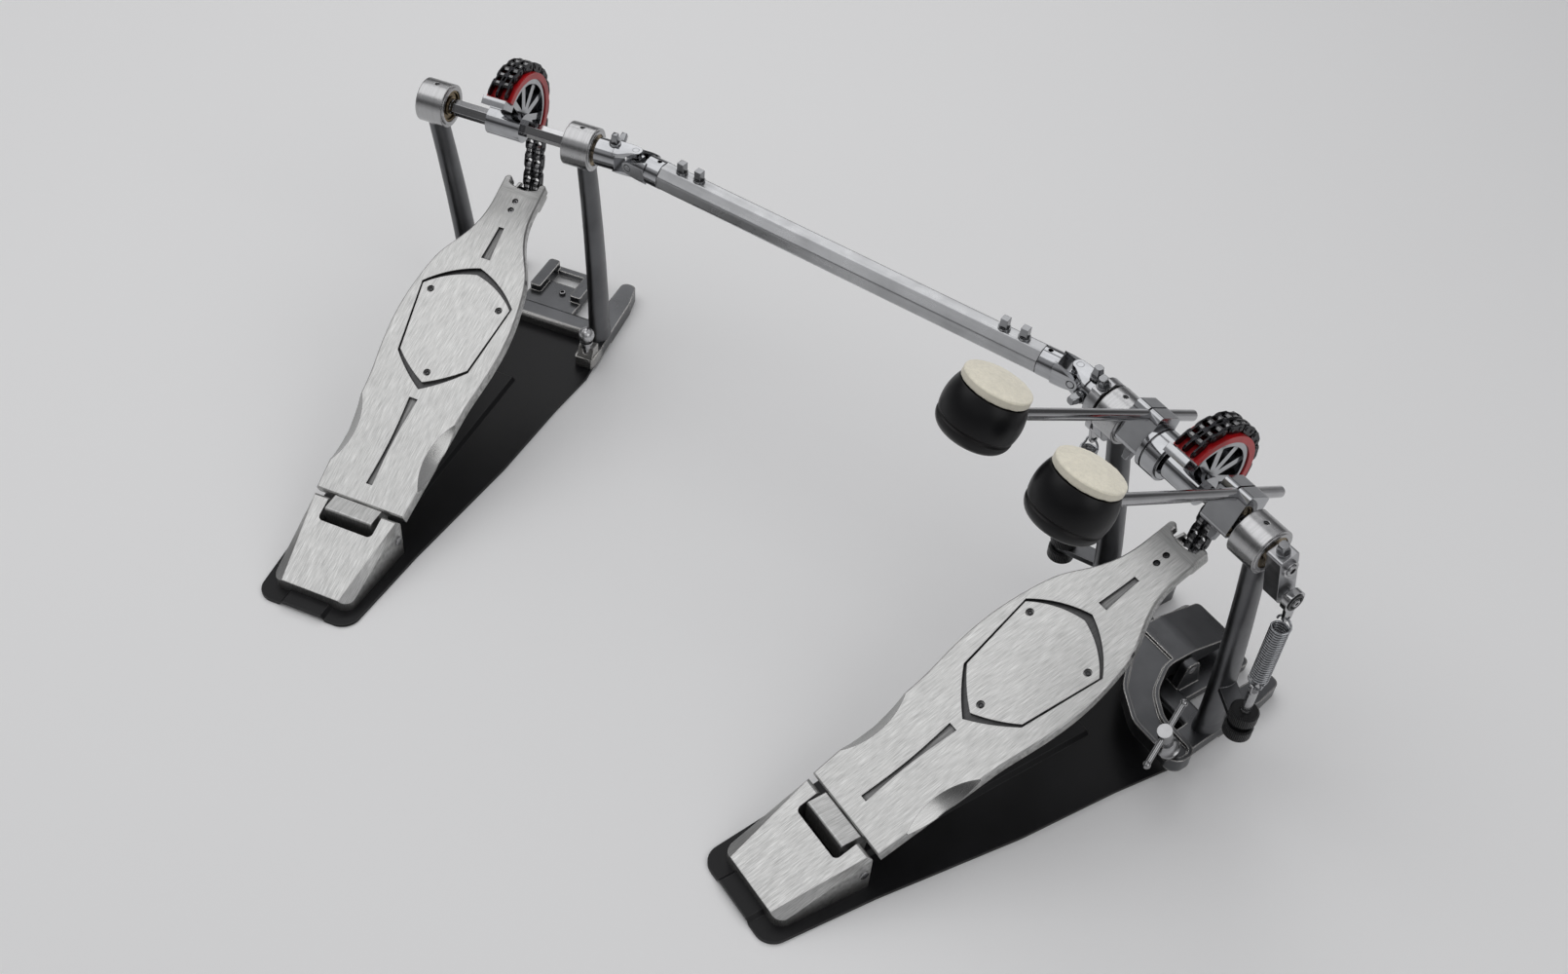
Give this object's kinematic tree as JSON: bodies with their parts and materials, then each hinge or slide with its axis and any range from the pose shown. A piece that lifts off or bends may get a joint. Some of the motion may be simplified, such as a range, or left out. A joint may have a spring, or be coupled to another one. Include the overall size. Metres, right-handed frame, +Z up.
{
  "type": "double bass drum pedal",
  "caption": "Twin-footboard bass drum pedal: chain-driven cams, sprung beaters, a hoop clamp, and a jointed drive shaft linking the second pedal to the left beater.",
  "frame": {"origin": "on the floor, under the middle of the main pedal's axle", "axes": "+Z up, +Y from the heel towards the drum, +X along the main axle to the player's right"},
  "size_m": [0.7708, 0.6006, 0.3478],
  "materials": {
    "brushed_alloy": "brushed along the board, satin",
    "traction_alloy": "brushed, plain",
    "black_steel": "satin black powder coat",
    "dark_casting": "dark satin on cast metal",
    "grey_casting": "dark grey satin casting",
    "chrome": "bright plating",
    "polished_steel": "polished",
    "key_bolts": "bright plating",
    "satin_tube": "satin plating",
    "bronze": "bronze bearing ring",
    "red_insert": "red moulded insert",
    "chain_steel": "black plates with bright rollers",
    "beater_black": "black moulding",
    "felt": "cream pressed felt",
    "spring_zinc": "zinc plated wire",
    "black_knob": "black, knurled"
  },
  "bodies": {
    "frame": {"main_base_plate": "black_steel", "second_base_plate": "black_steel", "main_heel_plate": "brushed_alloy", "second_heel_plate": "brushed_alloy", "main_front_casting": "dark_casting", "second_front_casting": "dark_casting", "main_posts": "grey_casting", "second_posts": "grey_casting", "pivot_pins": "polished_steel", "axle_bearings": "bronze", "threaded_studs": "polished_steel"},
    "hoop_clamp": {"hoop_clamp_lever": "dark_casting"},
    "clamp_bolt": {"hoop_clamp_bolt": "chrome"},
    "main_knobs": {"main_tension_knobs": "black_knob"},
    "left_knobs": {"left_tension_knobs": "black_knob"},
    "main_axle": {"main_axle": "polished_steel", "main_cam_wheel": "chrome", "main_cam_insert": "red_insert", "main_chain_wrap": "chain_steel", "main_beater_block": "chrome", "main_beater_rod": "polished_steel", "main_beater_head": "beater_black", "main_beater_felt": "felt", "main_spring_rocker": "chrome", "main_axle_bolts": "key_bolts"},
    "second_axle": {"second_axle": "polished_steel", "second_cam_wheel": "chrome", "second_cam_insert": "red_insert", "second_chain_wrap": "chain_steel", "second_joint_yoke": "chrome"},
    "left_hub": {"left_beater_hub": "chrome", "left_beater_rod": "polished_steel", "left_beater_head": "beater_black", "left_beater_felt": "felt", "left_spring_rocker": "chrome", "main_joint_yoke": "chrome", "left_hub_bolts": "key_bolts"},
    "drive_shaft": {"drive_tube": "satin_tube", "drive_shaft_rods": "chrome", "drive_shaft_bolts": "key_bolts"},
    "second_cross": {"second_joint_cross": "chrome"},
    "main_cross": {"main_joint_cross": "chrome"},
    "main_hook": {"main_spring_hook": "chrome"},
    "main_spring": {"main_spring": "spring_zinc"},
    "left_hook": {"left_spring_hook": "chrome"},
    "left_spring": {"left_spring": "spring_zinc"},
    "main_board": {"main_footboard": "brushed_alloy", "main_hinge_block": "brushed_alloy", "main_traction_plate": "traction_alloy", "main_chain_anchor": "dark_casting"},
    "main_chain_run_b": {"main_chain_run_b": "chain_steel"},
    "main_chain_run_a": {"main_chain_run_a": "chain_steel"},
    "main_chain_drop": {"main_chain_drop": "chain_steel"},
    "second_board": {"second_footboard": "brushed_alloy", "second_hinge_block": "brushed_alloy", "second_traction_plate": "traction_alloy", "second_chain_anchor": "dark_casting"},
    "second_chain_run_b": {"second_chain_run_b": "chain_steel"},
    "second_chain_run_a": {"second_chain_run_a": "chain_steel"},
    "second_chain_drop": {"second_chain_drop": "chain_steel"}
  },
  "joints": [
    {"name": "main_board_hinge", "type": "hinge", "parent": "frame", "child": "main_board", "pos_m": [0, -0.26148, 0.021], "axis": [-1, 0, 0], "range_deg": [0, 10.84], "stiffness_Nm_per_rad": 12, "springref_deg": -28.65},
    {"name": "main_axle_turn", "type": "hinge", "parent": "frame", "child": "main_axle", "pos_m": [0, 0, 0.226], "axis": [-1, 0, 0], "range_deg": [0, 67.2]},
    {"name": "main_chain_run_b_pivot", "type": "hinge", "parent": "main_axle", "child": "main_chain_run_b", "pos_m": [0, 0.02315, 0.26602], "axis": [1, 0, 0], "range_deg": [0, 17.23]},
    {"name": "main_chain_run_a_pivot", "type": "hinge", "parent": "main_chain_run_b", "child": "main_chain_run_a", "pos_m": [0, 0.04143, 0.25097], "axis": [1, 0, 0], "range_deg": [0, 40.18]},
    {"name": "main_chain_drop_pivot", "type": "hinge", "parent": "main_chain_run_a", "child": "main_chain_drop", "pos_m": [0, 0.04704, 0.22027], "axis": [1, 0, 0], "range_deg": [0, 22.97]},
    {"name": "second_board_hinge", "type": "hinge", "parent": "frame", "child": "second_board", "pos_m": [-0.41378, -0.41678, 0.021], "axis": [-0.829, -0.5592, 0], "range_deg": [0, 10.84], "stiffness_Nm_per_rad": 12, "springref_deg": -28.65},
    {"name": "second_axle_turn", "type": "hinge", "parent": "frame", "child": "second_axle", "pos_m": [-0.56, -0.2, 0.226], "axis": [-0.829, -0.5592, 0], "range_deg": [0, 67.2]},
    {"name": "second_chain_run_b_pivot", "type": "hinge", "parent": "second_axle", "child": "second_chain_run_b", "pos_m": [-0.57295, -0.18081, 0.26602], "axis": [0.829, 0.5592, 0], "range_deg": [0, 17.23]},
    {"name": "second_chain_run_a_pivot", "type": "hinge", "parent": "second_chain_run_b", "child": "second_chain_run_a", "pos_m": [-0.58317, -0.16565, 0.25097], "axis": [0.829, 0.5592, 0], "range_deg": [0, 40.18]},
    {"name": "second_chain_drop_pivot", "type": "hinge", "parent": "second_chain_run_a", "child": "second_chain_drop", "pos_m": [-0.5863, -0.16101, 0.22027], "axis": [0.829, 0.5592, 0], "range_deg": [0, 22.97]},
    {"name": "left_hub_turn", "type": "hinge", "parent": "frame", "child": "left_hub", "pos_m": [-0.113, 0, 0.226], "axis": [-1, 0, 0], "range_deg": [0, 68.13]},
    {"name": "drive_shaft_turn", "type": "hinge", "parent": "frame", "child": "drive_shaft", "pos_m": [-0.47046, -0.13961, 0.226], "axis": [-0.9315, -0.3638, 0], "range_deg": [0, 66.69]},
    {"name": "second_cross_pivot", "type": "hinge", "parent": "second_axle", "child": "second_cross", "pos_m": [-0.47046, -0.13961, 0.226], "axis": [0, 0, 1], "range_deg": [0, 7.7]},
    {"name": "main_cross_pivot", "type": "hinge", "parent": "left_hub", "child": "main_cross", "pos_m": [-0.113, 0, 0.226], "axis": [0, 0, -1], "range_deg": [0, 13.06]},
    {"name": "main_hook_pivot", "type": "hinge", "parent": "main_axle", "child": "main_hook", "pos_m": [0.0945, 0.009, 0.196], "axis": [1, 0, 0], "range_deg": [0, 85.93]},
    {"name": "main_spring_stretch", "type": "slide", "parent": "main_hook", "child": "main_spring", "axis": [0, 0, -1], "range_m": [0, 0.01483], "deforming": ["main_spring"]},
    {"name": "main_knob_turn", "type": "hinge", "parent": "frame", "child": "main_knobs", "pos_m": [0.0945, 0.009, 0.067], "axis": [0, 0, 1], "continuous": true},
    {"name": "left_hook_pivot", "type": "hinge", "parent": "left_hub", "child": "left_hook", "pos_m": [-0.0945, 0.009, 0.196], "axis": [1, 0, 0], "range_deg": [0, 86.96]},
    {"name": "left_spring_stretch", "type": "slide", "parent": "left_hook", "child": "left_spring", "axis": [0, 0, -1], "range_m": [0, 0.0153], "deforming": ["left_spring"]},
    {"name": "left_knob_turn", "type": "hinge", "parent": "frame", "child": "left_knobs", "pos_m": [-0.0945, 0.009, 0.067], "axis": [0, 0, 1], "continuous": true},
    {"name": "hoop_clamp_tilt", "type": "hinge", "parent": "frame", "child": "hoop_clamp", "pos_m": [0, 0.042, 0.028], "axis": [-1, 0, 0], "range_deg": [0, 6]},
    {"name": "clamp_bolt_turn", "type": "hinge", "parent": "hoop_clamp", "child": "clamp_bolt", "pos_m": [0.071, -0.021, 0.021], "axis": [0, -0.3746, 0.9272], "continuous": true}
  ],
  "couplings": [
    {"joint": "main_axle_turn", "follows": "main_board_hinge", "ratio": 6.1986},
    {"joint": "main_chain_run_b_pivot", "follows": "main_board_hinge", "ratio": 1.5885},
    {"joint": "main_chain_run_a_pivot", "follows": "main_board_hinge", "ratio": 3.7064},
    {"joint": "main_chain_drop_pivot", "follows": "main_board_hinge", "ratio": 2.1179},
    {"joint": "second_axle_turn", "follows": "second_board_hinge", "ratio": 6.1986},
    {"joint": "second_chain_run_b_pivot", "follows": "second_board_hinge", "ratio": 1.5885},
    {"joint": "second_chain_run_a_pivot", "follows": "second_board_hinge", "ratio": 3.7064},
    {"joint": "second_chain_drop_pivot", "follows": "second_board_hinge", "ratio": 2.1179},
    {"joint": "left_hub_turn", "follows": "second_board_hinge", "ratio": 6.2847},
    {"joint": "drive_shaft_turn", "follows": "second_board_hinge", "ratio": 6.1516},
    {"joint": "second_cross_pivot", "follows": "second_board_hinge", "ratio": 0.70915},
    {"joint": "main_cross_pivot", "follows": "second_board_hinge", "ratio": 1.2042},
    {"joint": "main_hook_pivot", "follows": "main_board_hinge", "ratio": 7.9265},
    {"joint": "main_spring_stretch", "follows": "main_board_hinge", "m_per_rad": 0.078317},
    {"joint": "left_hook_pivot", "follows": "second_board_hinge", "ratio": 8.0217},
    {"joint": "left_spring_stretch", "follows": "second_board_hinge", "m_per_rad": 0.080828}
  ]
}
